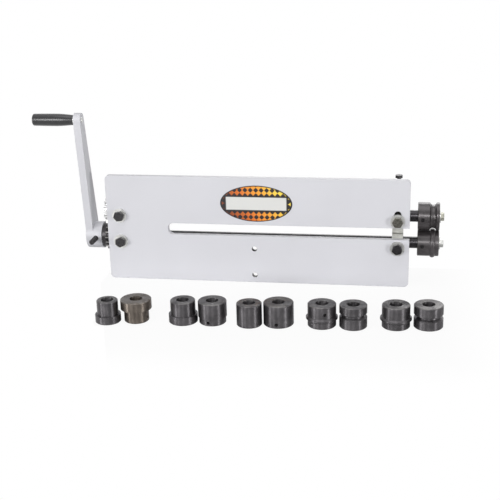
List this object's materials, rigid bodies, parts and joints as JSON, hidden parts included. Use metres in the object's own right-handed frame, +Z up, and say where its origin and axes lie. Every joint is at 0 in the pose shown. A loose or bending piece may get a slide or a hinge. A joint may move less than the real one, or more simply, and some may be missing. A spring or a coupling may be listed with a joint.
{
  "type": "hand cranked bead roller",
  "caption": "Slotted steel plate carrying two geared shafts with a forming die pair on their ends, a side crank, an adjusting bolt and spare dies.",
  "frame": {"origin": "midway between the two mounting holes, on the plate's rear face", "axes": "+X along the shafts from the crank to the dies, +Y from the plate's front to its back, +Z up"},
  "size_m": [0.7718, 0.3079, 0.3256],
  "materials": {
    "frame_paint": "satin",
    "black_oxide_steel": "satin",
    "bright_zinc_steel": "satin",
    "olive_zinc_steel": "satin",
    "bare_steel": "satin",
    "bronze": "satin",
    "black_grip": "gloss"
  },
  "bodies": {
    "frame": {"frame_plate": "frame_paint", "lower_rear_block": "olive_zinc_steel", "lower_front_block": "olive_zinc_steel", "lower_rear_bush": "bronze", "lower_front_bush": "bronze", "lower_rear_washer": "bright_zinc_steel", "lower_rear_bolt": "black_oxide_steel", "lower_front_washer": "bright_zinc_steel", "lower_front_bolt": "black_oxide_steel", "adjuster_block": "olive_zinc_steel", "spare_1_left": "black_oxide_steel", "spare_1_right": "black_oxide_steel", "spare_2_left": "black_oxide_steel", "spare_2_right": "black_oxide_steel", "spare_3_left": "black_oxide_steel", "spare_3_right": "black_oxide_steel", "spare_4_left": "black_oxide_steel", "spare_4_right": "black_oxide_steel", "spare_5_left": "black_oxide_steel", "spare_5_right": "black_oxide_steel"},
    "upper_carriage": {"upper_rear_block": "olive_zinc_steel", "upper_front_block": "olive_zinc_steel", "upper_rear_bush": "bronze", "upper_front_bush": "bronze", "pivot_washer": "bright_zinc_steel", "pivot_bolt": "black_oxide_steel", "guide_washer": "bright_zinc_steel", "guide_bolt": "olive_zinc_steel"},
    "adjuster": {"adjusting_bolt": "black_oxide_steel"},
    "lower_spindle": {"lower_shaft": "black_oxide_steel", "lower_gear": "black_oxide_steel", "lower_gear_key": "bare_steel", "lower_gear_set_screw": "black_oxide_steel", "lower_collar": "black_oxide_steel", "lower_collar_screw": "black_oxide_steel", "lower_die": "black_oxide_steel", "lower_die_set_screw": "black_oxide_steel", "lower_end_washer": "bright_zinc_steel", "lower_end_bolt": "bright_zinc_steel", "crank_arm": "frame_paint", "crank_set_bolt": "black_oxide_steel", "handle_washer": "bright_zinc_steel", "handle_axle": "bright_zinc_steel"},
    "upper_spindle": {"upper_shaft": "black_oxide_steel", "upper_gear": "bare_steel", "upper_gear_key": "bare_steel", "upper_gear_set_screw": "black_oxide_steel", "upper_collar": "black_oxide_steel", "upper_collar_screw": "black_oxide_steel", "upper_die": "black_oxide_steel", "upper_die_set_screw": "black_oxide_steel", "upper_end_washer": "bright_zinc_steel", "upper_end_bolt": "olive_zinc_steel"},
    "grip": {"handle_grip": "black_grip"}
  },
  "joints": [
    {"name": "carriage_tilt", "type": "hinge", "parent": "frame", "child": "upper_carriage", "pos_m": [-0.2615, 0, 0.08655], "axis": [0, -1, 0], "range_deg": [0, 1.37]},
    {"name": "adjuster_travel", "type": "slide", "parent": "frame", "child": "adjuster", "axis": [0, 0, 1], "range_m": [0, 0.0127]},
    {"name": "lower_shaft_turn", "type": "hinge", "parent": "frame", "child": "lower_spindle", "pos_m": [0, 0.03, 0.03455], "axis": [1, 0, 0], "continuous": true},
    {"name": "upper_shaft_turn", "type": "hinge", "parent": "upper_carriage", "child": "upper_spindle", "pos_m": [0, 0.03, 0.08655], "axis": [1, 0, 0], "continuous": true},
    {"name": "grip_turn", "type": "hinge", "parent": "lower_spindle", "child": "grip", "pos_m": [-0.38, -0.00615, 0.2708], "axis": [1, 0, 0], "continuous": true}
  ],
  "couplings": [
    {"joint": "adjuster_travel", "follows": "carriage_tilt", "m_per_rad": 0.53},
    {"joint": "upper_shaft_turn", "follows": "lower_shaft_turn", "ratio": -1}
  ]
}
